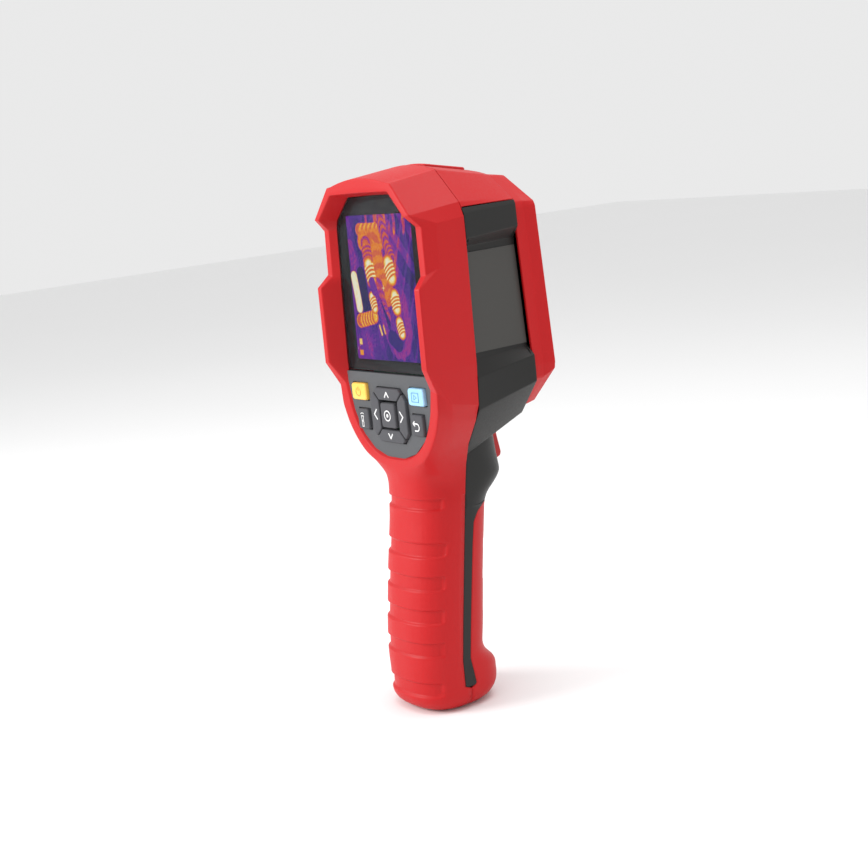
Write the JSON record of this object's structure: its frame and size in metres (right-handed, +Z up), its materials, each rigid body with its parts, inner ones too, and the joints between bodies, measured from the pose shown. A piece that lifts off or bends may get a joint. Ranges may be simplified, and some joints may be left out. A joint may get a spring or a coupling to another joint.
{
  "type": "thermal imaging camera",
  "caption": "Pistol-grip thermal imaging camera with a hooded upright display, keypad, trigger, flared front bumper and ribbed overmoulded handle.",
  "frame": {"origin": "mouth of the tripod thread, at the middle of the flat foot", "axes": "+Z up through the handle to the head, +Y the way the lens looks, +X to the right of the person holding it"},
  "size_m": [0.0748, 0.0751, 0.2316],
  "materials": {
    "red_overmould": "soft-touch moulded red, very fine grain",
    "red_trigger": "moulded red, satin",
    "black_plastic": "fine spark-eroded black",
    "label_satin": "flat satin charcoal",
    "keypad_grey": "fine grained dark grey",
    "key_grey": "moulded silicone, satin",
    "key_yellow": "moulded yellow, satin",
    "key_blue": "moulded light blue, satin",
    "window_glass": "polished, black printed border",
    "lcd": "lit colour display",
    "black_anodised": "black anodised, turned",
    "germanium": "polished, anti-reflection coated",
    "clear_lens": "polished clear",
    "component_black": "moulded package",
    "led_white": "phosphor and ceramic",
    "reflector": "vacuum metallised",
    "core_aluminium": "milled",
    "shutter_black": "black painted blade",
    "steel": "tinned sheet",
    "screw_black": "black oxide",
    "board_green": "solder-mask green",
    "cell_wrap": "shrink wrap",
    "contact_nickel": "nickel plate",
    "brass": "knurled insert"
  },
  "bodies": {
    "housing": {"rear_cover": "red_overmould", "front_grip": "red_overmould", "top_band": "red_overmould", "front_bumper": "red_overmould", "mid_housing": "black_plastic", "front_plate": "black_plastic", "lens_barrel": "black_anodised", "lens_ring": "black_anodised", "label_plate_right": "label_satin", "label_plate_left": "label_satin", "keypad_panel": "keypad_grey", "display_window": "window_glass", "lcd_module": "lcd", "germanium_lens": "germanium", "camera_window": "clear_lens", "torch_window": "clear_lens", "camera_module": "component_black", "torch_led": "led_white", "torch_reflector": "reflector", "thermal_core": "core_aluminium", "detector": "component_black", "shutter_motor": "steel", "heat_spreader": "core_aluminium", "main_board": "board_green", "key_board": "board_green", "port_board": "board_green", "tact_switches": "component_black", "processor_shield": "steel", "buzzer": "component_black", "board_screws": "steel", "front_screws": "screw_black", "usb_connector": "steel", "card_socket": "steel", "memory_card": "component_black", "trigger_pin": "steel", "trigger_switch": "component_black", "trigger_bracket": "black_plastic", "battery_cell": "cell_wrap", "battery_cradle": "black_plastic", "battery_contacts": "contact_nickel", "tripod_insert": "brass"},
    "power_key": {"power_key": "key_yellow"},
    "play_key": {"play_key": "key_blue"},
    "torch_key": {"torch_key": "key_grey"},
    "back_key": {"back_key": "key_grey"},
    "up_key": {"up_key": "key_grey"},
    "down_key": {"down_key": "key_grey"},
    "left_key": {"left_key": "key_grey"},
    "right_key": {"right_key": "key_grey"},
    "set_key": {"set_key": "key_grey"},
    "trigger": {"trigger": "red_trigger"},
    "port_cover": {"port_cover": "red_overmould"},
    "shutter": {"shutter_flag": "shutter_black"}
  },
  "joints": [
    {"name": "power_press", "type": "slide", "parent": "housing", "child": "power_key", "axis": [0, 1, 0], "range_m": [0, 0.0007], "stiffness_N_per_m": 1800},
    {"name": "play_press", "type": "slide", "parent": "housing", "child": "play_key", "axis": [0, 1, 0], "range_m": [0, 0.0007], "stiffness_N_per_m": 1800},
    {"name": "torch_press", "type": "slide", "parent": "housing", "child": "torch_key", "axis": [0, 1, 0], "range_m": [0, 0.0007], "stiffness_N_per_m": 1800},
    {"name": "back_press", "type": "slide", "parent": "housing", "child": "back_key", "axis": [0, 1, 0], "range_m": [0, 0.0007], "stiffness_N_per_m": 1800},
    {"name": "up_press", "type": "slide", "parent": "housing", "child": "up_key", "axis": [0, 1, 0], "range_m": [0, 0.0007], "stiffness_N_per_m": 1800},
    {"name": "down_press", "type": "slide", "parent": "housing", "child": "down_key", "axis": [0, 1, 0], "range_m": [0, 0.0007], "stiffness_N_per_m": 1800},
    {"name": "left_press", "type": "slide", "parent": "housing", "child": "left_key", "axis": [0, 1, 0], "range_m": [0, 0.0007], "stiffness_N_per_m": 1800},
    {"name": "right_press", "type": "slide", "parent": "housing", "child": "right_key", "axis": [0, 1, 0], "range_m": [0, 0.0007], "stiffness_N_per_m": 1800},
    {"name": "set_press", "type": "slide", "parent": "housing", "child": "set_key", "axis": [0, 1, 0], "range_m": [0, 0.0007], "stiffness_N_per_m": 1800},
    {"name": "trigger_pull", "type": "hinge", "parent": "housing", "child": "trigger", "pos_m": [0, 0.0286, 0.1126], "axis": [-1, 0, 0], "range_deg": [0, 8], "stiffness_Nm_per_rad": 0.25},
    {"name": "port_cover_hinge", "type": "hinge", "parent": "housing", "child": "port_cover", "pos_m": [0, 0.0338, 0.2277], "axis": [-1, 0, 0], "range_deg": [0, 110]},
    {"name": "shutter_swing", "type": "hinge", "parent": "housing", "child": "shutter", "pos_m": [-0.0096, 0.0296, 0.1766], "axis": [0, -1, 0], "range_deg": [0, 44]}
  ]
}
